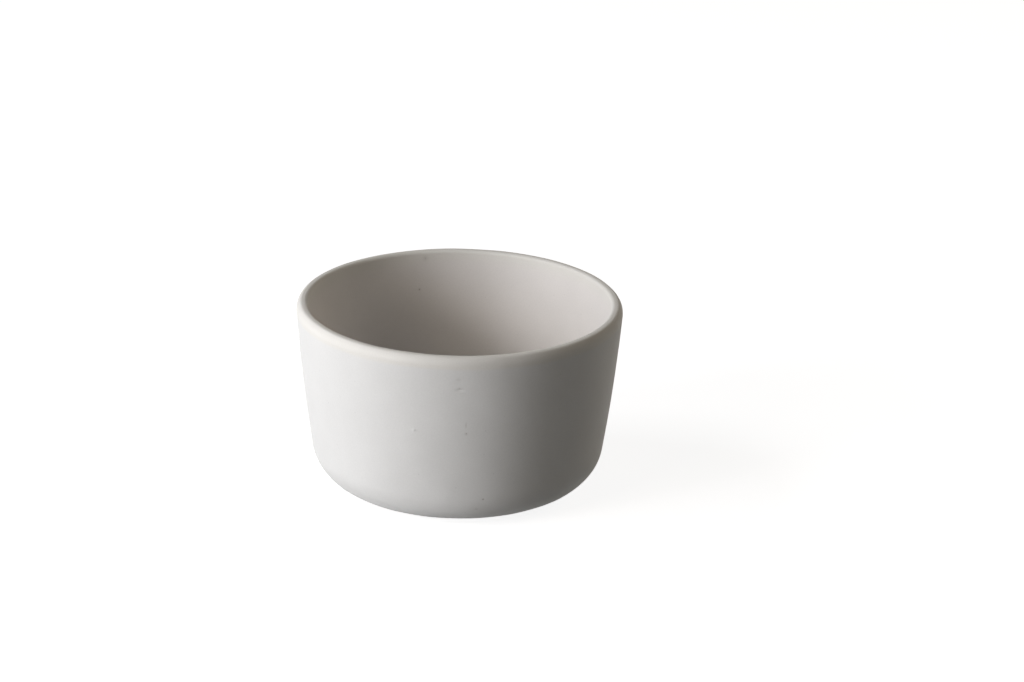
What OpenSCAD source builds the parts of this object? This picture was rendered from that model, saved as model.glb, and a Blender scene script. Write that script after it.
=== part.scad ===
// Latte bowl: a handleless stoneware bowl with a faintly bowed wall, a round heel, a low foot ring
// and a lip with a soft shoulder outside. The fired body carries an outer coat and a liner of glaze that
// meet in a band over the lip, an island of glaze inside the foot ring, and iron specks that melted
// through the coats.
// Lengths are millimetres, angles are degrees, +Z is up, and the origin is the middle of the resting face.

/* [Bowl] */
// Outside diameter over the lip
rim_d = 110; // [92:1:140]
// Height from the resting face to the top of the lip
bowl_h = 65; // [48:0.5:95]
// Diameter of the flat under the heel
base_d = 70.6; // [52:0.2:90]
// Radius of the round heel
heel_r = 14.6; // [9:0.2:18]
// Radius of the wall's outward bow, outside and inside
bow_r = 680; // [200:10:3000]

/* [Lip] */
// Radius of the soft shoulder outside the lip
shoulder_r = 3.6; // [2.6:0.1:6]
// Turn of the shoulder, from level, at which it meets the lip's outer edge
shoulder_turn = 45; // [25:1:65]
// Radius of the lip's outer and inner edges
edge_r = 1.3; // [1:0.05:2]
// Radius of the crown between the two edges
crown_r = 10; // [6:0.5:40]
// Width of the crown
crown_w = 0.6; // [0.2:0.1:2]

/* [Thickness] */
// Thickness of the wall where it meets the heel, coats included
heel_t = 4.9; // [3:0.1:8]
// Thickness of the floor above the flat of the heel, liner included
floor_t = 5; // [3:0.1:10]
// Radius of the round between wall and floor inside
basin_r = 12; // [5:0.2:18]

/* [Foot] */
// Height of the foot ring below the heel
foot_h = 1.6; // [0.8:0.1:5]
// Width of the foot ring
foot_w = 4.5; // [2.5:0.1:10]
// Step from the edge of the flat under the heel in to the foot ring
foot_inset = 1.3; // [0.4:0.1:4]
// Round on the edges of the foot ring
foot_edge_r = 0.5; // [0.2:0.05:0.7]
// Rise of the recess inside the foot ring above the flat of the heel
recess_rise = 0.6; // [0.2:0.1:1.5]
// Round in the corner of the recess
recess_r = 1.2; // [0.4:0.1:2]

/* [Glaze] */
// Thickness of the coats
glaze_t = 0.35; // [0.2:0.05:0.8]
// Turn of the heel, from straight down, that is wiped bare
wipe_turn = 6; // [2:0.5:20]
// Bare ring between the round of the recess and the island of glaze
island_gap = 1; // [0.2:0.1:4]
// Diameter of a full-sized iron speck
speck_d = 1; // [0.4:0.1:1.6]

/* [Hidden] */

full_turn = 360;
half_turn = 180;
quarter_turn = 90;
straight_down = -quarter_turn;

// Chords in the shoulder, an edge of the lip, its crown, the heel or basin, the wall, the wiped stretch and
// the small rounds of the foot
shoulder_steps = 14;
edge_steps = 16;
crown_steps = 3;
heel_steps = 32;
wall_steps = 12;
wipe_steps = 3;
foot_steps = 8;
// Facets of one turn of the pottery, and of an iron speck
$fn = 360;
speck_facets = 96;

// How far the specks and the island stop short of the clay, and how far the specks' holes run past it
seat_gap = 0.01;
overrun = 0.2;

// Places of the iron specks: share of a turn from the front, share of the coat's height and share of the
// full speck size
outer_speck_shares = [
    [0.0085, 0.607, 1], [0.001, 0.877, 0.9], [0.028, 0.193, 1], [0.022, 0.126, 0.8], [0.31, 0.46, 0.9],
    [0.38, 0.73, 0.7], [0.45, 0.25, 1], [0.52, 0.61, 0.8], [0.57, 0.85, 0.9], [0.64, 0.35, 0.7],
    [0.7, 0.67, 1]];
inner_speck_shares = [
    [0.5463, 0.783, 0.9], [0.539, 0.976, 0.8], [0.07, 0.5, 0.9], [0.16, 0.27, 1], [0.68, 0.12, 0.8],
    [0.83, 0.37, 0.7], [0.93, 0.68, 1]];

// Foot: the bare clay under the heel lies a coat's thickness above the flat of the heel
foot_out = base_d / 2 - foot_inset;
foot_in = foot_out - foot_w;
bare_z = foot_h + glaze_t;
recess_z = foot_h + recess_rise;
recess_round = min(recess_r, recess_z - foot_edge_r);
island_r = foot_in - recess_round - island_gap;

// Circles of the lip: its shoulder, outer edge, crown and inner edge
crown_turn = asin(crown_w / 2 / (crown_r - edge_r));
crown_start = quarter_turn - crown_turn;
crown_end = quarter_turn + crown_turn;
crown_x = rim_d / 2 - shoulder_r + (shoulder_r - edge_r) * cos(shoulder_turn) - crown_w / 2;
crown_c = [crown_x, bowl_h - crown_r];
outer_edge_c = crown_c + polar(crown_r - edge_r, crown_start);
inner_edge_c = crown_c + polar(crown_r - edge_r, crown_end);
shoulder_c = outer_edge_c - polar(shoulder_r - edge_r, shoulder_turn);

// Heel and basin circles, and the wall circles that run from them to the lip without a kink
floor_z = foot_h + floor_t;
heel_c = [base_d / 2, foot_h + heel_r];
basin_c = [heel_c.x + heel_r - heel_t - basin_r, floor_z + basin_r];
wall_c = between(heel_c, bow_r - heel_r, shoulder_c, bow_r - shoulder_r);
liner_c = between(basin_c, bow_r - basin_r, inner_edge_c, bow_r + edge_r);

// Angles at which one round hands over to the next
wipe_end = straight_down + wipe_turn;
heel_end = bearing(wall_c, heel_c);
lip_start = bearing(wall_c, shoulder_c);
lip_end = bearing(liner_c, inner_edge_c) + half_turn;
basin_end = bearing(liner_c, basin_c);

// Heights at which the outer coat starts, leaves the heel and ends, and the same for the liner
coat_z = heel_c.y + heel_r * sin(wipe_end);
heel_top = heel_c.y + heel_r * sin(heel_end);
coat_top = shoulder_c.y + shoulder_r * sin(lip_start);
basin_top = basin_c.y + basin_r * sin(basin_end);
liner_top = inner_edge_c.y + edge_r * sin(lip_end);

// Point at distance r and angle a from the origin of a section
function polar(r, a) = r * [cos(a), sin(a)];

// Angle of the line from one point to another
function bearing(from, to) = atan2(to.y - from.y, to.x - from.x);

// Point at set distances from a low point p and a high point q, on the side of the bowl's axis
function between(p, p_gap, q, q_gap) =
    let (span = norm(q - p), along = (span^2 + p_gap^2 - q_gap^2) / (2 * span), u = (q - p) / span)
    p + along * u + sqrt(p_gap^2 - along^2) * [-u.y, u.x];

// Points of an arc, and the same without its first point, for an arc that carries on from another
function arc(c, r, a0, a1, steps) = [for (k = [0 : steps]) c + polar(r, a0 + (a1 - a0) * k / steps)];
function rest_of(points) = [for (k = [1 : len(points) - 1]) points[k]];
function reversed(points) = [for (k = [len(points) - 1 : -1 : 0]) points[k]];

// Stretches of the bowl's section, from the foot up over the lip and down to the floor, at a depth
// below the skin of the glaze
function wiped_line(depth) = arc(heel_c, heel_r - depth, straight_down, wipe_end, wipe_steps);
function outer_line(depth) = concat(
    arc(heel_c, heel_r - depth, wipe_end, heel_end, heel_steps),
    rest_of(arc(wall_c, bow_r - depth, heel_end, lip_start, wall_steps)));
function lip_line(depth) = concat(
    arc(shoulder_c, shoulder_r - depth, lip_start, shoulder_turn, shoulder_steps),
    rest_of(arc(outer_edge_c, edge_r - depth, shoulder_turn, crown_start, edge_steps)),
    rest_of(arc(crown_c, crown_r - depth, crown_start, crown_end, crown_steps)),
    rest_of(arc(inner_edge_c, edge_r - depth, crown_end, lip_end, edge_steps)));
function inner_line(depth) = concat(
    arc(liner_c, bow_r + depth, lip_end - half_turn, basin_end, wall_steps),
    rest_of(arc(basin_c, basin_r + depth, basin_end, straight_down, heel_steps)),
    [[0, floor_z - depth]]);

// Section of the foot ring and its recess, from the axis out to the clay under the heel
function foot_line() = concat(
    [[0, recess_z]],
    arc([foot_in - recess_round, recess_z - recess_round], recess_round, quarter_turn, 0, foot_steps),
    arc([foot_in + foot_edge_r, foot_edge_r], foot_edge_r, -half_turn, straight_down, foot_steps),
    arc([foot_out - foot_edge_r, foot_edge_r], foot_edge_r, straight_down, 0, foot_steps),
    [[foot_out, bare_z]]);

// Section of a coat that lies between its skin and the clay
function coat(skin, clay) = concat(skin, reversed(clay));

module turned(section) rotate_extrude() polygon(section);

// One iron speck at height z: a disc square to its coat, between the arc of radius r about c and the
// coat's far side. Both faces are moved out by extra.
module speck(place, z, c, r, extra)
    let (a = asin((z - c.y) / r), near = c + polar(r - extra, a))
    rotate([0, 0, full_turn * place[0]]) translate([0, -near.x, near.y]) rotate([quarter_turn - a, 0, 0])
        cylinder(h = glaze_t + 2 * extra, d = speck_d * place[2], $fn = speck_facets);

module outer_discs(extra)
    for (place = outer_speck_shares)
        let (z = coat_z + (coat_top - coat_z) * place[1])
        if (z < heel_top) speck(place, z, heel_c, heel_r - glaze_t, extra);
        else speck(place, z, wall_c, bow_r - glaze_t, extra);

module inner_discs(extra)
    for (place = inner_speck_shares)
        let (z = floor_z + (liner_top - floor_z) * place[1])
        if (z < basin_top) speck(place, z, basin_c, basin_r, extra);
        else speck(place, z, liner_c, bow_r, extra);

// Fired clay: wall, floor and foot ring in one piece, bare only at the foot
module stoneware_body()
    color("#c8b79c")
        turned(concat(foot_line(), wiped_line(glaze_t), rest_of(outer_line(glaze_t)),
                      rest_of(lip_line(glaze_t)), rest_of(inner_line(glaze_t))));

// Matte coat on the outside, from the wiped line up to the lip
module outer_glaze()
    color("#e2dfda") difference() {
        turned(coat(outer_line(0), outer_line(glaze_t)));
        outer_discs(overrun);
    }

// Warmer liner on the inside wall and the floor
module inner_glaze()
    color("#e3dcd3") difference() {
        turned(coat(inner_line(0), inner_line(glaze_t)));
        inner_discs(overrun);
    }

// Band over the lip and its shoulder, where the two coats overlap
module rim_glaze()
    color("#e8e1d8") turned(coat(lip_line(0), lip_line(glaze_t)));

// Island of glaze inside the foot ring
module base_glaze()
    color("#dedad4") translate([0, 0, recess_z - glaze_t]) cylinder(h = glaze_t - seat_gap, r = island_r);

// Iron specks in the outer coat
module outer_specks()
    color("#5c5148") outer_discs(-seat_gap);

// Iron specks in the liner
module inner_specks()
    color("#6a5e52") inner_discs(-seat_gap);

stoneware_body();
outer_glaze();
inner_glaze();
rim_glaze();
base_glaze();
outer_specks();
inner_specks();
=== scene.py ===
# Latte bowl: the looks of a matte stoneware bowl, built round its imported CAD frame.
# Sizes are millimetres, as in the CAD source, until a mesh is made. Turns run from the front towards +X.
import math
from collections import namedtuple

import bpy
import numpy as np
from mathutils import Matrix, Vector


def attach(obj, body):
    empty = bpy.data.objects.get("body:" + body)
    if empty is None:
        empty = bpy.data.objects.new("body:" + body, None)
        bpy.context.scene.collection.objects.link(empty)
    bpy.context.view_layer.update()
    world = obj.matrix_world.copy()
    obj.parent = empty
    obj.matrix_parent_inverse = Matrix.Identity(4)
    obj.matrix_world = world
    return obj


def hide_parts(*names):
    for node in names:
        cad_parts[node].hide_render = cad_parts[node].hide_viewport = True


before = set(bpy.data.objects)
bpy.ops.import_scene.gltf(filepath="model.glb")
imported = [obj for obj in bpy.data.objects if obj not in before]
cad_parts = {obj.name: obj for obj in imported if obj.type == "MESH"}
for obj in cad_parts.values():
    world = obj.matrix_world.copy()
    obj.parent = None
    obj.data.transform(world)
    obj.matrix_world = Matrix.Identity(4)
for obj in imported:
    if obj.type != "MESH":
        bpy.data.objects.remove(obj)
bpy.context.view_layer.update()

MM = 0.001
FULL_TURN = 2 * math.pi
HALF_TURN = math.pi
QUARTER_TURN = math.pi / 2
STRAIGHT_DOWN = -QUARTER_TURN

# Sizes of the bowl, as in the CAD source
RIM_D = 110.0
BOWL_H = 65.0
BASE_D = 70.6
HEEL_R = 14.6
BOW_R = 680.0
SHOULDER_R = 3.6
SHOULDER_TURN = math.radians(45)
EDGE_R = 1.3
CROWN_R = 10.0
CROWN_W = 0.6
HEEL_T = 4.9
FLOOR_T = 5.0
BASIN_R = 12.0
FOOT_H = 1.6
FOOT_W = 4.5
FOOT_INSET = 1.3
FOOT_EDGE_R = 0.5
RECESS_RISE = 0.6
RECESS_R = 1.2
GLAZE_T = 0.35
WIPE_TURN = math.radians(6)
ISLAND_GAP = 1.0
SPECK_D = 1.0
SEAT_GAP = 0.01

# Places of the iron specks, as in the CAD source: share of a turn, share of the coat's height, share of the
# full speck size. Then each one's pit: its depth and its reach across and along the wall. Last, the grain's
# radius as a share of the speck's diameter, and how strongly it stains the glaze.
OUTER_SPECKS = [
    (0.0085, 0.607, 1.0, 0.05, 0.45, 0.45, 0.29, 0.24), (0.001, 0.877, 0.9, 0.03, 0.75, 0.42, 0.09, 0.22),
    (0.028, 0.193, 1.0, 0.05, 0.42, 0.42, 0.2, 0.18), (0.022, 0.126, 0.8, 0.09, 0.6, 0.42, 0.22, 0.16),
    (0.31, 0.46, 0.9, 0.06, 0.45, 0.45, 0.4, 0.24), (0.38, 0.73, 0.7, 0.05, 0.4, 0.4, 0.36, 0.2),
    (0.45, 0.25, 1.0, 0.1, 0.7, 0.45, 0.3, 0.2), (0.52, 0.61, 0.8, 0.05, 0.4, 0.44, 0.4, 0.24),
    (0.57, 0.85, 0.9, 0.08, 0.5, 0.42, 0.3, 0.18), (0.64, 0.35, 0.7, 0.06, 0.4, 0.4, 0.38, 0.22),
    (0.7, 0.67, 1.0, 0.11, 0.65, 0.45, 0.3, 0.2)]
INNER_SPECKS = [
    (0.5463, 0.783, 0.9, 0.08, 0.38, 0.42, 0.31, 0.36), (0.539, 0.976, 0.8, 0.02, 0.8, 0.8, 0.1, 0.2),
    (0.07, 0.5, 0.9, 0.06, 0.45, 0.45, 0.38, 0.24), (0.16, 0.27, 1.0, 0.08, 0.5, 0.45, 0.32, 0.22),
    (0.68, 0.12, 0.8, 0.05, 0.42, 0.42, 0.4, 0.24), (0.83, 0.37, 0.7, 0.06, 0.4, 0.4, 0.36, 0.22),
    (0.93, 0.68, 1.0, 0.1, 0.6, 0.45, 0.3, 0.18)]

# Other marks in the outer coat: turn in degrees, height, reach across and along the wall, lift and stain
OUTER_MARKS = [
    (-15.6, 38.35, 0.52, 0.52, 0.19, 0.0),
    (2.9, 41.2, 0.22, 0.95, -0.02, 0.24),
    (0.0, 57.65, 0.75, 0.6, -0.02, 0.14),
    (0.4, 53.8, 1.3, 0.45, -0.2, 0.0)]

# Grid of the coats: columns in a turn, spacing of rows, rows in the shoulder, outer edge, crown and inner
# edge of the lip, and the radius of the ring round the axis at which the liner's rows end
COLUMNS = 240
EVEN_TURNS = np.arange(COLUMNS) * FULL_TURN / COLUMNS - HALF_TURN
ROW_STEP = 1.3
SHOULDER_ROWS = 20
OUTER_EDGE_ROWS = 14
CROWN_ROWS = 4
INNER_EDGE_ROWS = 28
AXIS_RING = 0.6

# Fine grid lines across each mark: their distances from its middle, how far apart they lie at least, and
# how far the other lines keep from them
FINE_OFFSETS = (-0.8, -0.42, -0.18, 0.0, 0.18, 0.42, 0.8)
LINE_CLEARANCE = 0.07
COARSE_CLEARANCE = 0.4

# Fine rows at the ends of the outer coat: lengths from the wiped line, lengths below the lip, and how far
# the other rows keep from them
EDGE_LINES = np.array([0.0, 0.04, 0.1, 0.18, 0.28, 0.4, 0.54, 0.7, 0.9])
WARM_LINES = np.array([1.6, 1.2, 0.85, 0.55, 0.3, 0.12, 0.0])
END_CLEARANCE = 0.15

# Map of a coat: its side on the clay lies below BACK_V, its low end between BACK_V and SKIN_V, its skin
# between SKIN_V and TOP_V, and its high end or the middle of the floor above TOP_V
UV_NAME = "OFBake"
BACK_V = 0.04
SKIN_V = 0.06
TOP_V = 0.98

# Points in the tables of heights, the step to a neighbour for directions of the skin, and least sizes that
# keep these directions sound at the axis
TABLE_POINTS = 2000
NORMAL_STEP = 0.02
LEAST_RADIUS = 0.05
AXIS_CLEARANCE = 1e-6
LEAST_LENGTH = 1e-12

SEED = 47
rng = np.random.default_rng(SEED)

# Slow unevenness of the glaze: waves with whole numbers round the bowl and lengths along the section, faded
# out towards the axis
WAVES = 26
WAVE_HEIGHT = 0.0055
WAVE_LENGTHS = (11.0, 34.0)
MOST_TURNS = 22
AXIS_FADE = 16.0
wave_turns = rng.integers(0, MOST_TURNS, WAVES)
wave_lengths = rng.uniform(*WAVE_LENGTHS, WAVES)
wave_phases = rng.uniform(0, FULL_TURN, WAVES)

# Slight ovalness of the fired bowl and sway of its lip, with their turns and their lobes in a full turn
OVAL = 0.05
OVAL_TURN = 0.7
SWAY = 0.05
SWAY_TURN = 2.1
LOBES = 2

# Rolled edge of the outer coat at the wiped line: its reach, its thinnest place, the swell behind it with
# its place in reaches, and its waviness
EDGE_REACH = 0.7
EDGE_LEFT = 0.03
EDGE_SWELL = 0.05
SWELL_PLACE = 1.6
EDGE_WANDER = 0.22
EDGE_TURNS = (3, 5, 8, 13, 21)
edge_phases = rng.uniform(0, FULL_TURN, len(EDGE_TURNS))

# Warm tone of the lip: how far it runs down the outside, how uneven that line is, and the length over which
# it turns into the liner's tone inside
WARM_REACH = 1.5
WARM_WANDER = 0.3
WARM_TURNS = (2, 5, 9, 14)
LINER_REACH = 5.0
warm_phases = rng.uniform(0, FULL_TURN, len(WARM_TURNS))


# Section of the bowl
def polar(radius, angle):
    return radius * np.array([math.cos(angle), math.sin(angle)])


def bearing(start, end):
    return math.atan2(end[1] - start[1], end[0] - start[0])


def between(low, low_gap, high, high_gap):
    """Point at set distances from a low and a high point, on the side of the bowl's axis."""
    span = np.linalg.norm(high - low)
    along = (span ** 2 + low_gap ** 2 - high_gap ** 2) / (2 * span)
    unit = (high - low) / span
    return low + along * unit + math.sqrt(low_gap ** 2 - along ** 2) * np.array([-unit[1], unit[0]])


floor_z = FOOT_H + FLOOR_T
crown_turn = math.asin(CROWN_W / 2 / (CROWN_R - EDGE_R))
crown_start = QUARTER_TURN - crown_turn
crown_end = QUARTER_TURN + crown_turn
crown_x = RIM_D / 2 - SHOULDER_R + (SHOULDER_R - EDGE_R) * math.cos(SHOULDER_TURN) - CROWN_W / 2
crown_c = np.array([crown_x, BOWL_H - CROWN_R])
outer_edge_c = crown_c + polar(CROWN_R - EDGE_R, crown_start)
inner_edge_c = crown_c + polar(CROWN_R - EDGE_R, crown_end)
shoulder_c = outer_edge_c - polar(SHOULDER_R - EDGE_R, SHOULDER_TURN)
heel_c = np.array([BASE_D / 2, FOOT_H + HEEL_R])
basin_c = np.array([heel_c[0] + HEEL_R - HEEL_T - BASIN_R, floor_z + BASIN_R])
wall_c = between(heel_c, BOW_R - HEEL_R, shoulder_c, BOW_R - SHOULDER_R)
liner_c = between(basin_c, BOW_R - BASIN_R, inner_edge_c, BOW_R + EDGE_R)
wipe_end = STRAIGHT_DOWN + WIPE_TURN
heel_end = bearing(wall_c, heel_c)
lip_start = bearing(wall_c, shoulder_c)
lip_end = bearing(liner_c, inner_edge_c) + HALF_TURN
basin_end = bearing(liner_c, basin_c)

# Arcs of the skin from the wiped line over the lip to the floor: centre, radius, angles, and 1 where the
# skin faces away from the centre or -1 where it faces the centre. The flat of the floor follows them.
ARCS = [
    (heel_c, HEEL_R, wipe_end, heel_end, 1),
    (wall_c, BOW_R, heel_end, lip_start, 1),
    (shoulder_c, SHOULDER_R, lip_start, SHOULDER_TURN, 1),
    (outer_edge_c, EDGE_R, SHOULDER_TURN, crown_start, 1),
    (crown_c, CROWN_R, crown_start, crown_end, 1),
    (inner_edge_c, EDGE_R, crown_end, lip_end, 1),
    (liner_c, BOW_R, lip_end - HALF_TURN, basin_end, -1),
    (basin_c, BASIN_R, basin_end, STRAIGHT_DOWN, -1)]
arc_lengths = [radius * abs(stop - start) for centre, radius, start, stop, facing in ARCS]
arc_starts = np.concatenate([[0.0], np.cumsum(arc_lengths)])
heel_top_s, lip_start_s, edge_s, crown_s, nose_s, lip_end_s, basin_top_s, floor_s = arc_starts[1:]
axis_s = floor_s + basin_c[0]


def section(length):
    """Radius and height of the skin, and its outward direction, at lengths along it from the wiped line."""
    length = np.asarray(length, float)
    point = np.zeros(length.shape + (2,))
    facing_way = np.zeros(length.shape + (2,))
    which = np.clip(np.searchsorted(arc_starts, length, side="right") - 1, 0, len(ARCS))
    for index, (centre, radius, start, stop, facing) in enumerate(ARCS):
        here = which == index
        share = (length[here] - arc_starts[index]) / arc_lengths[index]
        angle = start + (stop - start) * share
        spoke = np.stack([np.cos(angle), np.sin(angle)], -1)
        point[here] = centre + radius * spoke
        facing_way[here] = facing * spoke
    flat = which == len(ARCS)
    point[flat] = np.stack([axis_s - length[flat], np.full(flat.sum(), floor_z)], -1)
    facing_way[flat] = (0.0, 1.0)
    return point, facing_way


# Lengths along the skin for heights on the outside and on the inside
outer_lengths = np.linspace(0, lip_start_s, TABLE_POINTS)
outer_heights = section(outer_lengths)[0][:, 1]
inner_lengths = np.linspace(lip_end_s, floor_s, TABLE_POINTS)
inner_heights = section(inner_lengths)[0][:, 1]


def outer_length(height):
    return float(np.interp(height, outer_heights, outer_lengths))


def inner_length(height):
    return float(np.interp(height, inner_heights[::-1], inner_lengths[::-1]))


def wrapped(turn):
    """The same turn between minus and plus half a turn."""
    return (turn + HALF_TURN) % FULL_TURN - HALF_TURN


Mark = namedtuple("Mark", "turn length across along lift stain")


def speck_places(shares, low, high, length_of):
    """Turn, length along the skin, grain radius and pit depth of each speck, and the marks they leave."""
    places = []
    left = []
    for turn_share, height_share, size_share, pit, across, along, grain_share, tint in shares:
        turn = wrapped(FULL_TURN * turn_share)
        length = length_of(low + (high - low) * height_share)
        places.append((turn, length, SPECK_D * size_share * grain_share, pit))
        left.append(Mark(turn, length, across, along, -pit, tint))
    return places, left


outer_specks, outer_marks = speck_places(OUTER_SPECKS, outer_heights[0], outer_heights[-1], outer_length)
inner_specks, inner_marks = speck_places(INNER_SPECKS, floor_z, inner_heights[0], inner_length)
for degrees, height, across, along, lift, tint in OUTER_MARKS:
    outer_marks.append(Mark(math.radians(degrees), outer_length(height), across, along, lift, tint))
marks = outer_marks + inner_marks


# Skin of the fired bowl
def smooth(share):
    share = np.clip(share, 0, 1)
    return share * share * (3 - 2 * share)


def wander(turn, turns, phases):
    """An uneven line round the bowl, between -1 and 1."""
    return sum(np.cos(count * turn + phase) for count, phase in zip(turns, phases)) / len(turns)


def nearness(turn, length, radius, mark):
    """1 in the middle of a mark, falling to 0 past its reach."""
    across = wrapped(turn - mark.turn) * radius / mark.across
    along = (length - mark.length) / mark.along
    return np.exp(-across ** 2 - along ** 2)


def relief(turn, length, radius):
    """Lift of the skin above the even section."""
    lift = np.zeros(np.broadcast(turn, length).shape)
    for turns, wave, phase in zip(wave_turns, wave_lengths, wave_phases):
        lift = lift + WAVE_HEIGHT * np.cos(turns * turn + FULL_TURN * length / wave + phase)
    lift = lift * smooth(radius / AXIS_FADE)
    for mark in marks:
        lift = lift + mark.lift * nearness(turn, length, radius, mark)
    reach = EDGE_REACH + EDGE_WANDER * wander(turn, EDGE_TURNS, edge_phases)
    share = np.clip(length / reach, 0, 1)
    rolled = (GLAZE_T - EDGE_LEFT) * (1 - np.sqrt(1 - (1 - share) ** 2))
    swell = EDGE_SWELL * np.exp(-((length - SWELL_PLACE * reach) / reach) ** 2)
    return lift - rolled + swell


def stain(turn, length, radius):
    """How strongly iron stains the glaze, from 0 to 1."""
    amount = np.zeros(np.broadcast(turn, length).shape)
    for mark in marks:
        if mark.stain > 0:
            amount = np.maximum(amount, mark.stain * nearness(turn, length, radius, mark))
    return amount


def turned_point(turn, radius, height):
    """Points of the fired bowl, with its slight ovalness and sway."""
    spread = radius / (RIM_D / 2)
    rise = np.clip(height / BOWL_H, 0, 1) ** 2
    out = radius + OVAL * spread * rise * np.cos(LOBES * (turn - OVAL_TURN))
    up = height + SWAY * rise * spread * np.cos(LOBES * (turn - SWAY_TURN)) - SWAY * rise * spread
    return np.stack([out * np.sin(turn), -out * np.cos(turn), up], -1)


def skin(turn, length, depth=0.0, even=False):
    """Points of the glaze's skin, or of a layer at a depth below it."""
    point, facing_way = section(length)
    lift = -depth
    if not even:
        lift = lift + relief(turn, length, point[..., 0])
    radius = point[..., 0] + facing_way[..., 0] * lift
    height = point[..., 1] + facing_way[..., 1] * lift
    return turned_point(turn, radius, height)


def outward(turn, facing_way):
    """Directions in space at turns, from outward directions of the section."""
    return np.stack([facing_way[..., 0] * np.sin(turn), -facing_way[..., 0] * np.cos(turn),
                     facing_way[..., 1] * np.ones(np.shape(turn))], -1)


def unit_rows(vectors):
    return vectors / np.maximum(np.linalg.norm(vectors, axis=-1, keepdims=True), LEAST_LENGTH)


def skin_normal(turn, length):
    """Directions of the skin, from close neighbours on it, the same on both sides of a seam."""
    radius = np.maximum(section(length)[0][..., 0], LEAST_RADIUS)
    swing = NORMAL_STEP / radius
    across = skin(turn + swing, length) - skin(turn - swing, length)
    low = np.maximum(length - NORMAL_STEP, 0)
    high = np.minimum(length + NORMAL_STEP, axis_s - AXIS_CLEARANCE)
    along = skin(turn, high) - skin(turn, low)
    return unit_rows(np.cross(across, along))


# Grid lines
def lines(base, fine):
    """Sorted grid lines: the fine ones, and the base ones that keep clear of them."""
    kept = []
    for value in sorted(fine):
        if not kept or value - kept[-1] > LINE_CLEARANCE:
            kept.append(value)
    fine_kept = np.array(kept)
    for value in base:
        if len(fine_kept) == 0 or np.min(np.abs(fine_kept - value)) > COARSE_CLEARANCE:
            kept.append(value)
    return np.array(sorted(kept))


def coat_grid(low, high, marked):
    """Turns and lengths of the grid lines of a coat that runs from one length to another."""
    reach = RIM_D / 2
    fine_turns = []
    fine_lengths = []
    for mark in marked:
        radius = float(section(mark.length)[0][0])
        fine_turns += [mark.turn * reach + offset * reach / radius for offset in FINE_OFFSETS]
        fine_lengths += [mark.length + offset for offset in FINE_OFFSETS]
    fine_turns = [at for at in fine_turns if abs(at) < HALF_TURN * reach]
    turns = lines(EVEN_TURNS * reach, fine_turns) / reach
    rows = int(math.ceil((high - low) / ROW_STEP))
    base_lengths = np.linspace(low, high, rows + 1)[1:-1]
    fine_lengths = [at for at in fine_lengths if low + COARSE_CLEARANCE < at < high - COARSE_CLEARANCE]
    lengths = np.concatenate([[low], lines(base_lengths, fine_lengths), [high]])
    return turns, lengths


# Meshes
def ring_faces(first, second, columns):
    """Quads between two rings of vertices, and the columns of their corners."""
    here = np.arange(columns)
    there = (here + 1) % columns
    quads = np.stack([first + here, first + there, second + there, second + here], 1)
    spots = np.stack([here, here + 1, here + 1, here], 1)
    return quads, spots


def ring_map(u_lines, spots, first_v, second_v):
    """Places of a ring's corners in the map."""
    v = np.array([first_v, first_v, second_v, second_v])
    return np.stack([u_lines[spots], np.broadcast_to(v, spots.shape)], -1)


def fan(u_lines, ring, tip, ring_v, tip_v, flipped):
    """Triangles from a ring of vertices to a tip, and the places of their corners in the map."""
    columns = len(u_lines) - 1
    here = np.arange(columns)
    starts, stops = here, here + 1
    if flipped:
        starts, stops = stops, starts
    faces = np.stack([ring + starts % columns, ring + stops % columns, np.full(columns, tip)], 1)
    middle = (u_lines[:-1] + u_lines[1:]) / 2
    spots = np.stack([np.stack([u_lines[starts], np.full(columns, ring_v)], -1),
                      np.stack([u_lines[stops], np.full(columns, ring_v)], -1),
                      np.stack([middle, np.full(columns, tip_v)], -1)], 1)
    return faces, spots


def new_piece(name, points, faces, material):
    """An object with smooth faces from points in millimetres."""
    mesh = bpy.data.meshes.new(name)
    mesh.from_pydata((points * MM).tolist(), [], faces)
    mesh.shade_smooth()
    mesh.materials.append(material)
    piece = bpy.data.objects.new(name, mesh)
    bpy.context.scene.collection.objects.link(piece)
    return piece


def mapped_piece(name, points, quads, fans, corner_uvs, material):
    """An object from points in millimetres, quads, triangles and the map of their corners."""
    faces = np.concatenate(quads).tolist() + np.concatenate(fans).tolist()
    piece = new_piece(name, points, faces, material)
    layer = piece.data.uv_layers.new(name=UV_NAME)
    flat_uvs = np.concatenate([uvs.reshape(-1, 2) for uvs in corner_uvs])
    layer.uv.foreach_set("vector", flat_uvs.astype(np.float32).ravel())
    return piece


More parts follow.
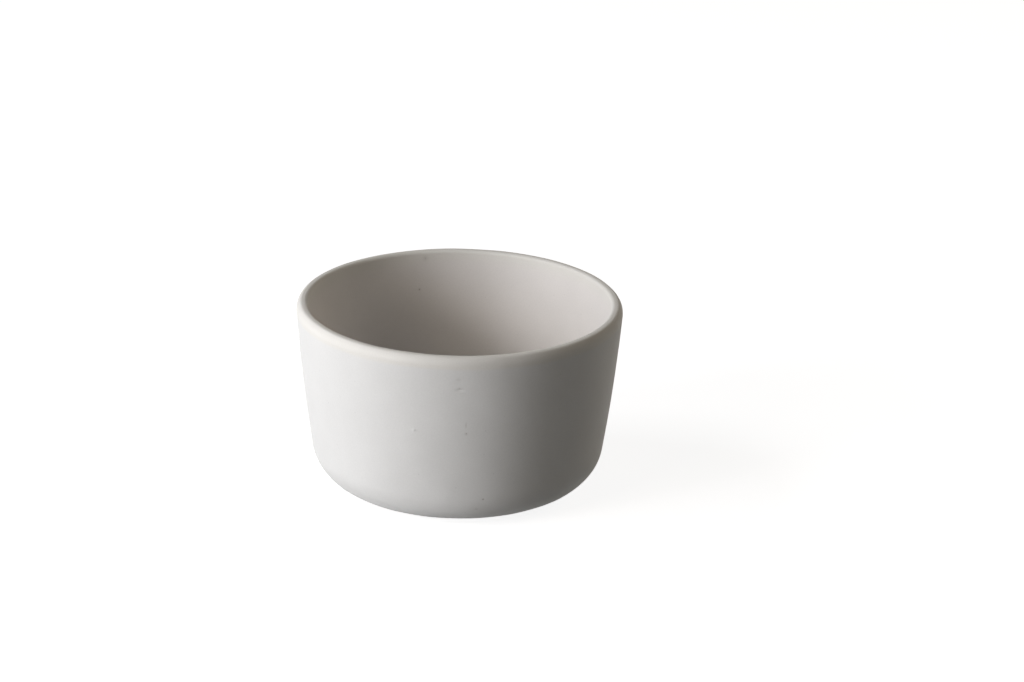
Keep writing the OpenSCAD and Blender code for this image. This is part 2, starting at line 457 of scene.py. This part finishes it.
def closed_coat(name, turns, lengths, to_axis, tone, material):
    """A coat of glaze: its skin, its side on the clay, and its ends. tone gives the colour's warmth."""
    columns = len(turns)
    rows = len(lengths)
    turn_grid, length_grid = np.meshgrid(turns, lengths)
    point_grid, facing_grid = section(length_grid)
    front = skin(turn_grid, length_grid)
    back = skin(turn_grid, length_grid, GLAZE_T, even=True)
    points = np.concatenate([front.reshape(-1, 3), back.reshape(-1, 3)])
    normals = np.concatenate([skin_normal(turn_grid, length_grid).reshape(-1, 3),
                              -outward(turn_grid, facing_grid).reshape(-1, 3)])
    back_first = rows * columns
    last = (rows - 1) * columns
    u_lines = np.concatenate([turns, [turns[0] + FULL_TURN]])
    u_lines = (u_lines - u_lines[0]) / FULL_TURN
    v_lines = (lengths - lengths[0]) / (lengths[-1] - lengths[0])
    skin_v = SKIN_V + (TOP_V - SKIN_V) * v_lines
    quads = []
    fans = [np.zeros((0, 3), int)]
    uvs = []
    corner_normals = []

    def add_ring(first, second, first_v, second_v, ring_normals=None):
        faces, spots = ring_faces(first, second, columns)
        quads.append(faces)
        uvs.append(ring_map(u_lines, spots, first_v, second_v))
        if ring_normals is None:
            corner_normals.append(normals[faces].reshape(-1, 3))
        else:
            corner_normals.append(ring_normals[spots % columns].reshape(-1, 3))

    def end_normals(row, way):
        """Directions of the flat end of the coat at a row."""
        across, up = section(lengths[row])[1]
        return way * outward(turns, np.array([-up, across]))

    for row in range(rows - 1):
        add_ring(row * columns, (row + 1) * columns, skin_v[row], skin_v[row + 1])
    for row in range(rows - 1):
        start = back_first + row * columns
        add_ring(start + columns, start, BACK_V * v_lines[row + 1], BACK_V * v_lines[row])
    add_ring(back_first, 0, BACK_V, SKIN_V, end_normals(0, -1))
    if to_axis:
        tip = skin(np.array(0.0), np.array(axis_s))
        tip_back = skin(np.array(0.0), np.array(axis_s), GLAZE_T, even=True)
        points = np.concatenate([points, [tip, tip_back]])
        tip_index = 2 * rows * columns
        up_way = np.tile([0.0, 0.0, 1.0], (3 * columns, 1))
        front_fan, front_uvs = fan(u_lines, last, tip_index, TOP_V, 1.0, False)
        back_fan, back_uvs = fan(u_lines, back_first + last, tip_index + 1, BACK_V, BACK_V, True)
        fans += [front_fan, back_fan]
        uvs += [front_uvs, back_uvs]
        corner_normals += [up_way, -up_way]
    else:
        add_ring(last, back_first + last, TOP_V, 1.0, end_normals(rows - 1, 1))
    piece = mapped_piece(name, points, quads, fans, uvs, material)
    layers = {"iron": stain(turn_grid, length_grid, point_grid[..., 0]),
              "warm": tone(turn_grid, length_grid)}
    for title, values in layers.items():
        on_points = np.zeros(len(points), np.float32)
        on_points[:back_first] = values.ravel()
        piece.data.attributes.new(title, "FLOAT", "POINT").data.foreach_set("value", on_points)
    piece.data.update()
    piece.data.normals_split_custom_set(np.concatenate(corner_normals).tolist())
    return piece


def turned_solid(name, outline, material):
    """A closed turned solid from an outline that starts and ends on the axis, with its map."""
    rings = outline[1:-1]
    turn_grid, radius_grid = np.meshgrid(EVEN_TURNS, rings[:, 0])
    height_grid = np.broadcast_to(rings[:, 1][:, None], turn_grid.shape)
    ends = np.array([[0.0, 0.0, outline[0, 1]], [0.0, 0.0, outline[-1, 1]]])
    points = np.concatenate([turned_point(turn_grid, radius_grid, height_grid).reshape(-1, 3), ends])
    steps = np.linalg.norm(np.diff(outline, axis=0), axis=1)
    v_lines = np.concatenate([[0.0], np.cumsum(steps)])
    v_lines = v_lines / v_lines[-1]
    u_lines = np.arange(COLUMNS + 1) / COLUMNS
    quads = []
    uvs = []
    for row in range(len(rings) - 1):
        faces, spots = ring_faces(row * COLUMNS, (row + 1) * COLUMNS, COLUMNS)
        quads.append(faces)
        uvs.append(ring_map(u_lines, spots, v_lines[row + 1], v_lines[row + 2]))
    tip = len(rings) * COLUMNS
    first_fan, first_uvs = fan(u_lines, 0, tip, v_lines[1], v_lines[0], True)
    last_fan, last_uvs = fan(u_lines, tip - COLUMNS, tip + 1, v_lines[-2], v_lines[-1], False)
    piece = mapped_piece(name, points, quads, [first_fan, last_fan], uvs + [first_uvs, last_uvs], material)
    piece.data.update()
    return piece


# Iron grains: spokes and rings of a grain, its rise above the floor of its pit, how far its edge sinks
# below that floor, its bottom from the even skin, how ragged its outline is, and the lobes of that outline,
# each with a strength of 1 over its number less LOBE_EASE
SPECK_SPOKES = 20
SPECK_RINGS = (0.3, 0.55, 0.78, 1.0)
SPECK_RISE = 0.03
SPECK_SINK = 0.05
SPECK_BOTTOM = -0.3
SPECK_RAGGED = 0.16
SPECK_LOBES = (2, 3, 4)
LOBE_EASE = 0.5


def speck_piece(name, places, material):
    """Grains with ragged outlines, each a low mound on the floor of its pit and closed below the skin."""
    points = []
    faces = []
    spokes = np.arange(SPECK_SPOKES) * FULL_TURN / SPECK_SPOKES
    for turn, length, radius, pit in places:
        centre = skin(np.array(turn), np.array(length), even=True)
        out = outward(turn, section(length)[1])
        across = np.array([math.cos(turn), math.sin(turn), 0.0])
        up = np.cross(out, across)
        phases = rng.uniform(0, FULL_TURN, len(SPECK_LOBES))
        ragged = sum(np.cos(lobes * spokes + phase) / (lobes - LOBE_EASE)
                     for lobes, phase in zip(SPECK_LOBES, phases))
        reach = radius * (1 + SPECK_RAGGED * ragged)
        crest = SPECK_RISE - pit
        first = len(points)
        points.append(centre + crest * out)
        for share in SPECK_RINGS:
            level = crest - (SPECK_RISE + SPECK_SINK) * share ** 2
            for spoke, far in zip(spokes, reach):
                spot = far * share * (math.cos(spoke) * across + math.sin(spoke) * up)
                points.append(centre + spot + level * out)
        bottom = len(points)
        points.append(centre + SPECK_BOTTOM * out)
        for here in range(SPECK_SPOKES):
            there = (here + 1) % SPECK_SPOKES
            ring = first + 1
            faces.append((first, ring + here, ring + there))
            for far_ring in range(ring + SPECK_SPOKES, bottom, SPECK_SPOKES):
                faces.append((ring + here, far_ring + here, far_ring + there, ring + there))
                ring = far_ring
            faces.append((ring + there, ring + here, bottom))
    return new_piece(name, np.array(points), faces, material)


# Materials
def new_material(name):
    """A material, its nodes, its shader and the place of a point on the object."""
    material = bpy.data.materials.new(name)
    material.use_nodes = True
    tree = material.node_tree
    place = add_node(tree, "ShaderNodeTexCoord").outputs["Object"]
    return material, tree, tree.nodes["Principled BSDF"], place


def add_node(tree, kind, values=None, **settings):
    """Adds a node, sets its properties and its inputs' values, or links what is a socket."""
    made = tree.nodes.new(kind)
    for title, value in settings.items():
        setattr(made, title, value)
    for title, value in (values or {}).items():
        socket = made.inputs[title]
        if isinstance(value, bpy.types.NodeSocket):
            tree.links.new(value, socket)
        else:
            socket.default_value = value
    return made


def noise(tree, place, scale, detail, roughness=0.5):
    made = add_node(tree, "ShaderNodeTexNoise",
                    {"Vector": place, "Scale": scale, "Detail": detail, "Roughness": roughness})
    return made.outputs["Fac"]


def ranged(tree, value, span, to_span):
    """A value with one span turned into another and held at its ends."""
    made = add_node(tree, "ShaderNodeMapRange", {"Value": value, "From Min": span[0], "From Max": span[1],
                                                 "To Min": to_span[0], "To Max": to_span[1]})
    return made.outputs["Result"]


def maths(tree, operation, first, second):
    made = add_node(tree, "ShaderNodeMath", {0: first, 1: second}, operation=operation)
    return made.outputs[0]


def mixed(tree, share, first, second, blend="MIX"):
    """A blend of two colours. Inputs 6 and 7 and output 2 are the node's sockets for colours."""
    made = add_node(tree, "ShaderNodeMix", {0: share, 6: first, 7: second}, data_type="RGBA",
                    blend_type=blend)
    return made.outputs[2]


def grey(tree, value):
    made = add_node(tree, "ShaderNodeCombineColor", {0: value, 1: value, 2: value})
    return made.outputs[0]


def bumped(tree, height, distance):
    made = add_node(tree, "ShaderNodeBump", {"Height": height, "Strength": 1.0, "Distance": distance})
    return made.outputs["Normal"]


def layer_of(tree, title):
    return add_node(tree, "ShaderNodeAttribute", attribute_name=title).outputs["Fac"]


def dots(tree, place, scale, channel, choice, span, strength):
    """Round dots, fading out over a span from their middles, in the cells whose colour passes a choice."""
    cells = add_node(tree, "ShaderNodeTexVoronoi", {"Vector": place, "Scale": scale})
    pick = add_node(tree, "ShaderNodeSeparateColor", {0: cells.outputs["Color"]}).outputs[channel]
    chosen = maths(tree, "GREATER_THAN", pick, choice)
    return maths(tree, "MULTIPLY", chosen, ranged(tree, cells.outputs["Distance"], span, (strength, 0.0)))


def set_shader(tree, shader, colour, roughness, normal, ior, shine):
    tree.links.new(colour, shader.inputs["Base Color"])
    tree.links.new(roughness, shader.inputs["Roughness"])
    tree.links.new(normal, shader.inputs["Normal"])
    shader.inputs["IOR"].default_value = ior
    shader.inputs["Specular IOR Level"].default_value = shine


# Middle spans of the noises that are stretched to set ranges, and the whole range
MIDDLE = (0.3, 0.7)
WIDE_MIDDLE = (0.25, 0.75)
TIGHT_MIDDLE = (0.32, 0.68)
WHOLE = (0.0, 1.0)

# Glaze: scales of its patterns in features per metre, their details, the tones they give, and the height of
# its bumps in metres
MOTTLE_SCALE = 85.0
MOTTLE_DETAIL = 3.0
MOTTLE_TONE = (0.984, 1.016)
CLOUD_SCALE = 28.0
CLOUD_DETAIL = 2.0
CLOUD_TONE = (0.988, 1.012)
GRAIN_SCALE = 2300.0
GRAIN_DETAIL = 2.0
GRAIN_TONE = (0.975, 1.025)
FRECKLE_SCALE = 330.0
FRECKLE_CHOICE = 0.86
FRECKLE_SPAN = (0.03, 0.1)
FRECKLE_STRENGTH = 0.32
FRECKLE_TONE = 0.62
STAIN_SCALE = 3200.0
STAIN_DETAIL = 2.0
STAIN_BREAK = (0.8, 1.15)
STAIN_COLOUR = (0.2, 0.165, 0.125, 1.0)
PEEL_SCALE = 950.0
PEEL_DETAIL = 4.0
PEEL_ROUGHNESS = 0.62
PEEL_HEIGHT = 0.000006
GLAZE_IOR = 1.5
GLAZE_SHINE = 0.3


def glaze_material(name, cool, warm, rough):
    """Matte glaze: a drifting tone, fine grain, faint freckles, iron stains, and a dimpled dry surface."""
    material, tree, shader, place = new_material(name)
    mottle = noise(tree, place, MOTTLE_SCALE, MOTTLE_DETAIL)
    cloud = noise(tree, place, CLOUD_SCALE, CLOUD_DETAIL)
    grain = noise(tree, place, GRAIN_SCALE, GRAIN_DETAIL)
    base = mixed(tree, layer_of(tree, "warm"), (*cool, 1.0), (*warm, 1.0))
    drift = maths(tree, "MULTIPLY", ranged(tree, mottle, MIDDLE, MOTTLE_TONE),
                  ranged(tree, cloud, MIDDLE, CLOUD_TONE))
    tone = maths(tree, "MULTIPLY", drift, ranged(tree, grain, WIDE_MIDDLE, GRAIN_TONE))
    toned = mixed(tree, 1.0, base, grey(tree, tone), "MULTIPLY")
    freckles = dots(tree, place, FRECKLE_SCALE, "Red", FRECKLE_CHOICE, FRECKLE_SPAN, FRECKLE_STRENGTH)
    freckled = mixed(tree, freckles, toned, (*[FRECKLE_TONE * part for part in cool], 1.0))
    broken = ranged(tree, noise(tree, place, STAIN_SCALE, STAIN_DETAIL), MIDDLE, STAIN_BREAK)
    iron = maths(tree, "MULTIPLY", layer_of(tree, "iron"), broken)
    colour = mixed(tree, iron, freckled, STAIN_COLOUR)
    peel = noise(tree, place, PEEL_SCALE, PEEL_DETAIL, PEEL_ROUGHNESS)
    set_shader(tree, shader, colour, ranged(tree, mottle, MIDDLE, rough), bumped(tree, peel, PEEL_HEIGHT),
               GLAZE_IOR, GLAZE_SHINE)
    return material


# Clay: the same, with its two tones, its sand and its dark grit
EARTH_SCALE = 60.0
EARTH_DETAIL = 4.0
EARTH_DARK = (0.47, 0.385, 0.29, 1.0)
EARTH_PALE = (0.58, 0.49, 0.385, 1.0)
SAND_SCALE = 1700.0
SAND_DETAIL = 3.0
SAND_ROUGHNESS = 0.7
SAND_TONE = (0.82, 1.16)
SAND_HEIGHT = 0.00006
GRIT_SCALE = 900.0
GRIT_CHOICE = 0.9
GRIT_SPAN = (0.18, 0.36)
GRIT_STRENGTH = 0.75
GRIT_COLOUR = (0.16, 0.115, 0.08, 1.0)
CLAY_ROUGH = (0.82, 0.96)
CLAY_IOR = 1.5
CLAY_SHINE = 0.25


def clay_material(name):
    """Bare fired stoneware: sandy, with dark grit and a dry, toothed surface."""
    material, tree, shader, place = new_material(name)
    earth = noise(tree, place, EARTH_SCALE, EARTH_DETAIL)
    sand = noise(tree, place, SAND_SCALE, SAND_DETAIL, SAND_ROUGHNESS)
    base = mixed(tree, ranged(tree, earth, MIDDLE, WHOLE), EARTH_DARK, EARTH_PALE)
    sanded = mixed(tree, 1.0, base, grey(tree, ranged(tree, sand, WIDE_MIDDLE, SAND_TONE)), "MULTIPLY")
    grit = dots(tree, place, GRIT_SCALE, "Green", GRIT_CHOICE, GRIT_SPAN, GRIT_STRENGTH)
    set_shader(tree, shader, mixed(tree, grit, sanded, GRIT_COLOUR),
               ranged(tree, sand, WIDE_MIDDLE, CLAY_ROUGH), bumped(tree, sand, SAND_HEIGHT),
               CLAY_IOR, CLAY_SHINE)
    return material


# Iron: the same, with the two tones of a grain
IRON_SCALE = 4200.0
IRON_DETAIL = 3.0
IRON_DARK = (0.16, 0.135, 0.11, 1.0)
IRON_PALE = (0.34, 0.3, 0.255, 1.0)
IRON_ROUGH = (0.4, 0.62)
IRON_HEIGHT = 0.00002
IRON_IOR = 1.55
IRON_SHINE = 0.5


def iron_material(name):
    """Iron grain melted into the glaze: brown, clouded by the coat over it."""
    material, tree, shader, place = new_material(name)
    cloud = noise(tree, place, IRON_SCALE, IRON_DETAIL)
    set_shader(tree, shader, mixed(tree, ranged(tree, cloud, TIGHT_MIDDLE, WHOLE), IRON_DARK, IRON_PALE),
               ranged(tree, cloud, MIDDLE, IRON_ROUGH), bumped(tree, cloud, IRON_HEIGHT),
               IRON_IOR, IRON_SHINE)
    return material


# Colours of the coats, and the spans of their roughness
OUTER_COLOUR = (0.685, 0.682, 0.662)
RIM_COLOUR = (0.7, 0.684, 0.641)
LINER_COLOUR = (0.707, 0.682, 0.655)
OUTER_ROUGH = (0.62, 0.72)
LINER_ROUGH = (0.54, 0.64)
RIM_ROUGH = (0.56, 0.66)
BASE_ROUGH = (0.58, 0.7)
outer_finish = glaze_material("matte_outer_glaze", OUTER_COLOUR, RIM_COLOUR, OUTER_ROUGH)
inner_finish = glaze_material("satin_inner_glaze", RIM_COLOUR, LINER_COLOUR, LINER_ROUGH)
rim_finish = glaze_material("rim_glaze", OUTER_COLOUR, RIM_COLOUR, RIM_ROUGH)
base_finish = glaze_material("base_glaze", OUTER_COLOUR, RIM_COLOUR, BASE_ROUGH)
clay_finish = clay_material("bare_stoneware")
iron_finish = iron_material("iron_speck")


# Coats. The warm tone of the lip runs a little way down the outside, along a slightly uneven line, and
# turns into the liner's tone inside.
def outer_tone(turn, length):
    below = lip_start_s - length
    uneven = WARM_WANDER * wander(turn, WARM_TURNS, warm_phases) * smooth(below / WARM_REACH)
    return 1 - smooth((below + uneven) / WARM_REACH)


def rim_tone(turn, length):
    return np.ones(turn.shape)


def inner_tone(turn, length):
    return smooth((length - lip_end_s) / LINER_REACH) * np.ones(turn.shape)


turns, lengths = coat_grid(0.0, lip_start_s, outer_marks)
lip_lines = lip_start_s - WARM_LINES
middle = (lengths > EDGE_LINES[-1] + END_CLEARANCE) & (lengths < lip_lines[0] - END_CLEARANCE)
lengths = np.concatenate([EDGE_LINES, lengths[middle], lip_lines])
outer_coat = closed_coat("outer_coat", turns, lengths, False, outer_tone, outer_finish)

lengths = np.concatenate([np.linspace(lip_start_s, edge_s, SHOULDER_ROWS + 1)[:-1],
                          np.linspace(edge_s, crown_s, OUTER_EDGE_ROWS + 1)[:-1],
                          np.linspace(crown_s, nose_s, CROWN_ROWS + 1)[:-1],
                          np.linspace(nose_s, lip_end_s, INNER_EDGE_ROWS + 1)])
rim_coat = closed_coat("rim_coat", EVEN_TURNS, lengths, False, rim_tone, rim_finish)

turns, lengths = coat_grid(lip_end_s, axis_s - AXIS_RING, inner_marks)
inner_coat = closed_coat("inner_coat", turns, lengths, True, inner_tone, inner_finish)

# Specks
outer_grains = speck_piece("outer_iron_grains", outer_specks, iron_finish)
inner_grains = speck_piece("inner_iron_grains", inner_specks, iron_finish)

# Clay body: spacing of points on the foot and over the island, spacing and depth of the trimming rings,
# steps in the rounds of the recess, the foot and the wiped stretch, points under each stretch of the coats,
# and the height below which the foot rests
TRIM_STEP = 0.14
RECESS_STEP = 3.0
TRIM_RINGS = 0.62
TRIM_DEPTH = 0.018
RECESS_STEPS = 12
FOOT_STEPS = 10
WIPE_STEPS = 8
UNDER_POINTS = (24, 24, 28, 24, 20, 12)
RESTING_LEVEL = 0.02

# Island of glaze in the recess: radius and steps of its rolled edge, how far inside its edge the wide
# spacing of points starts, and the spacing on its low and top faces
ISLAND_ROLL = 0.34
ROLL_STEPS = 10
ISLAND_INSET = 0.4
ISLAND_LOW_STEP = 1.5
ISLAND_TOP_STEP = 6.0


def arc_points(centre, radius, start, stop, steps):
    angles = np.linspace(start, stop, steps + 1)
    return centre + radius * np.stack([np.cos(angles), np.sin(angles)], -1)


def straight(start, stop, step):
    """Points of a straight line, with the last one left out."""
    start = np.array(start)
    stop = np.array(stop)
    count = max(1, int(np.linalg.norm(stop - start) / step))
    return start + (stop - start) * (np.arange(count) / count)[:, None]


foot_out = BASE_D / 2 - FOOT_INSET
foot_in = foot_out - FOOT_W
bare_z = FOOT_H + GLAZE_T
recess_z = FOOT_H + RECESS_RISE
recess_round = min(RECESS_R, recess_z - FOOT_EDGE_R)
recess_edge = foot_in - recess_round
island_r = recess_edge - ISLAND_GAP
island_flat = island_r - ISLAND_INSET

foot_outline = np.concatenate([
    straight((0.0, recess_z), (island_flat, recess_z), RECESS_STEP),
    straight((island_flat, recess_z), (recess_edge, recess_z), TRIM_STEP),
    arc_points((recess_edge, recess_z - recess_round), recess_round, QUARTER_TURN, 0, RECESS_STEPS),
    arc_points((foot_in + FOOT_EDGE_R, FOOT_EDGE_R), FOOT_EDGE_R, -HALF_TURN, STRAIGHT_DOWN, FOOT_STEPS),
    straight((foot_in + FOOT_EDGE_R + TRIM_STEP, 0.0), (foot_out - FOOT_EDGE_R, 0.0), TRIM_STEP),
    arc_points((foot_out - FOOT_EDGE_R, FOOT_EDGE_R), FOOT_EDGE_R, STRAIGHT_DOWN, 0, FOOT_STEPS),
    straight((foot_out, FOOT_EDGE_R + TRIM_STEP), (foot_out, bare_z), TRIM_STEP),
    straight((foot_out, bare_z), (heel_c[0], bare_z), TRIM_STEP),
    arc_points(heel_c, HEEL_R - GLAZE_T, STRAIGHT_DOWN, wipe_end, WIPE_STEPS)[:-1]])
stops = (0.0, heel_top_s, lip_start_s, lip_end_s, basin_top_s, floor_s, axis_s)
stretches = [np.linspace(start, stop, count)[:-1]
             for start, stop, count in zip(stops, stops[1:], UNDER_POINTS)]
under_point, under_way = section(np.concatenate(stretches + [[axis_s]]))
body_outline = np.concatenate([foot_outline, under_point - GLAZE_T * under_way])
body_outline[-1, 0] = 0.0

# Trimming rings, cut into the bare clay where it doesn't rest on anything
steps = np.concatenate([[0.0], np.cumsum(np.linalg.norm(np.diff(body_outline, axis=0), axis=1))])
slopes = np.gradient(body_outline, axis=0)
across_outline = unit_rows(np.stack([slopes[:, 1], -slopes[:, 0]], -1))
bare = np.arange(len(body_outline)) < len(foot_outline) - 1
resting = body_outline[:, 1] < RESTING_LEVEL
trimmed = bare & ~resting & (body_outline[:, 0] > island_r)
ring_cut = TRIM_DEPTH * (1 + np.cos(FULL_TURN * steps / TRIM_RINGS)) / 2
body_outline = body_outline - across_outline * (ring_cut * trimmed)[:, None]
body = turned_solid("clay_body", body_outline, clay_finish)

island_top = recess_z - SEAT_GAP
island_low = recess_z - GLAZE_T
roll_start = island_r - ISLAND_ROLL
island_outline = np.concatenate([
    straight((0.0, island_low), (roll_start, island_low), ISLAND_LOW_STEP),
    arc_points((roll_start, island_top), ISLAND_ROLL, STRAIGHT_DOWN, 0, ROLL_STEPS),
    straight((island_flat, island_top), (0.0, island_top), ISLAND_TOP_STEP),
    [[0.0, island_top]]])
island = turned_solid("base_island", island_outline, base_finish)

PIECES = [
    (body, "stoneware_body", "stoneware"),
    (outer_coat, "outer_glaze", "outer_glaze"),
    (inner_coat, "inner_glaze", "inner_glaze"),
    (rim_coat, "rim_glaze", "rim_glaze"),
    (island, "base_glaze", "base_glaze"),
    (outer_grains, "outer_specks", "iron_speck"),
    (inner_grains, "inner_specks", "iron_speck")]
for piece, node_name, slot_name in PIECES:
    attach(piece, "root")
    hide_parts(node_name)


# Stage: a floor that is white to the camera and keeps the shadow, and a surround that is white to the
# camera and lights the bowl only faintly. The floor throws more light back on the left, as a white card
# laid there would. Its size and the reach of that change are metres.
FLOOR_SIZE = 12.0
FLOOR_GLOW = 0.88
FLOOR_CATCH = 0.4
LEFT_BOUNCE = 0.66
RIGHT_BOUNCE = 0.32
BOUNCE_REACH = 0.05
FILL = 0.004
FILL_COLOUR = (1.0, 0.96, 0.9, 1.0)
WHITE = (1.0, 1.0, 1.0, 1.0)


def seen_rays(tree):
    """1 for rays that show the background itself: from the camera, or by gloss or through glass."""
    path = add_node(tree, "ShaderNodeLightPath")
    seen = maths(tree, "MAXIMUM", path.outputs["Is Camera Ray"], path.outputs["Is Glossy Ray"])
    return maths(tree, "MAXIMUM", seen, path.outputs["Is Transmission Ray"])


def shader_mix(tree, share, first, second):
    return add_node(tree, "ShaderNodeMixShader", {0: share, 1: first.outputs[0], 2: second.outputs[0]})


def floor_material():
    """White floor for the rays that see it, with the shadow in it, and clear from below."""
    material = bpy.data.materials.new("white_floor")
    material.use_nodes = True
    material.cycles.emission_sampling = "NONE"
    tree = material.node_tree
    tree.nodes.clear()
    glow = add_node(tree, "ShaderNodeEmission", {"Color": WHITE, "Strength": FLOOR_GLOW})
    catch = add_node(tree, "ShaderNodeBsdfDiffuse", {"Color": (FLOOR_CATCH, FLOOR_CATCH, FLOOR_CATCH, 1.0)})
    shown = add_node(tree, "ShaderNodeAddShader", {0: glow.outputs[0], 1: catch.outputs[0]})
    geometry = add_node(tree, "ShaderNodeNewGeometry")
    across = add_node(tree, "ShaderNodeSeparateXYZ", {0: geometry.outputs["Position"]}).outputs["X"]
    bounce = ranged(tree, across, (-BOUNCE_REACH, BOUNCE_REACH), (LEFT_BOUNCE, RIGHT_BOUNCE))
    plain = add_node(tree, "ShaderNodeBsdfDiffuse", {"Color": grey(tree, bounce)})
    top = shader_mix(tree, seen_rays(tree), plain, shown)
    clear = add_node(tree, "ShaderNodeBsdfTransparent")
    both = shader_mix(tree, geometry.outputs["Backfacing"], top, clear)
    add_node(tree, "ShaderNodeOutputMaterial", {"Surface": both.outputs[0]})
    return material


half = FLOOR_SIZE / 2
floor_corners = [(-half, -half, 0), (half, -half, 0), (half, half, 0), (-half, half, 0)]
floor_mesh = bpy.data.meshes.new("floor")
floor_mesh.from_pydata(floor_corners, [], [(0, 1, 2, 3)])
floor_mesh.materials.append(floor_material())
floor = bpy.data.objects.new("floor", floor_mesh)
bpy.context.scene.collection.objects.link(floor)

world = bpy.data.worlds.new("white_surround")
world.use_nodes = True
bpy.context.scene.world = world
tree = world.node_tree
tree.nodes.clear()
dim = add_node(tree, "ShaderNodeBackground", {"Color": FILL_COLOUR, "Strength": FILL})
white = add_node(tree, "ShaderNodeBackground", {"Color": WHITE, "Strength": 1.0})
surround = shader_mix(tree, seen_rays(tree), dim, white)
add_node(tree, "ShaderNodeOutputWorld", {"Surface": surround.outputs[0]})

# Lamps, all at one distance in metres from the point that they and the camera aim at: name, turn and rise
# in degrees, width and height in metres, watts and colour
LAMP_GAP = 1.2
AIM_HEIGHT = 33.3
LAMPS = [
    ("key", -60.0, 13.5, 0.46, 0.6, 10.4, (0.92, 0.94, 1.0)),
    ("high_left", -97.0, 42.0, 0.5, 0.4, 4.75, (0.96, 0.97, 1.0)),
    ("front_left", -45.0, 26.0, 0.46, 0.46, 3.15, (1.0, 0.9, 0.79)),
    ("right", 104.0, 28.0, 0.5, 0.4, 1.58, (1.0, 0.915, 0.795)),
    ("back_right", 132.0, 28.0, 0.4, 0.34, 0.95, (1.0, 0.8, 0.55))]
aim = Vector((0, 0, AIM_HEIGHT * MM))
for name, degrees, rise, width, height, watts, colour in LAMPS:
    lamp = bpy.data.lights.new(name, "AREA")
    lamp.shape = "RECTANGLE"
    lamp.size = width
    lamp.size_y = height
    lamp.energy = watts
    lamp.color = colour
    turn = math.radians(degrees)
    climb = math.radians(rise)
    way = Vector((math.sin(turn) * math.cos(climb), -math.cos(turn) * math.cos(climb), math.sin(climb)))
    holder = bpy.data.objects.new(name, lamp)
    holder.location = aim + LAMP_GAP * way
    holder.rotation_euler = way.to_track_quat("Z", "Y").to_euler()
    holder.visible_camera = False
    bpy.context.scene.collection.objects.link(holder)

# Camera, as fitted to the outline of the bowl in the photograph: distance in metres, lens and sensor in
# millimetres, and in pixels the picture's size and the place of the point aimed at
CAMERA_RISE = math.radians(21.674)
CAMERA_ROLL = math.radians(0.928)
CAMERA_GAP = 1.0
LENS = 103.15
SENSOR = 36.0
PHOTO_W = 1024
PHOTO_H = 682
PHOTO_MIDDLE = (458.43, 387.29)
camera_data = bpy.data.cameras.new("camera")
camera_data.sensor_width = SENSOR
camera_data.lens = LENS
camera_data.shift_x = (PHOTO_W / 2 - PHOTO_MIDDLE[0]) / PHOTO_W
camera_data.shift_y = (PHOTO_MIDDLE[1] - PHOTO_H / 2) / PHOTO_W
camera = bpy.data.objects.new("camera", camera_data)
camera.location = aim + CAMERA_GAP * Vector((0, -math.cos(CAMERA_RISE), math.sin(CAMERA_RISE)))
tilt = Matrix.Rotation(QUARTER_TURN - CAMERA_RISE, 3, "X") @ Matrix.Rotation(CAMERA_ROLL, 3, "Z")
camera.rotation_euler = tilt.to_euler()
bpy.context.scene.collection.objects.link(camera)
bpy.context.scene.camera = camera
bpy.context.scene.view_settings.view_transform = "Standard"
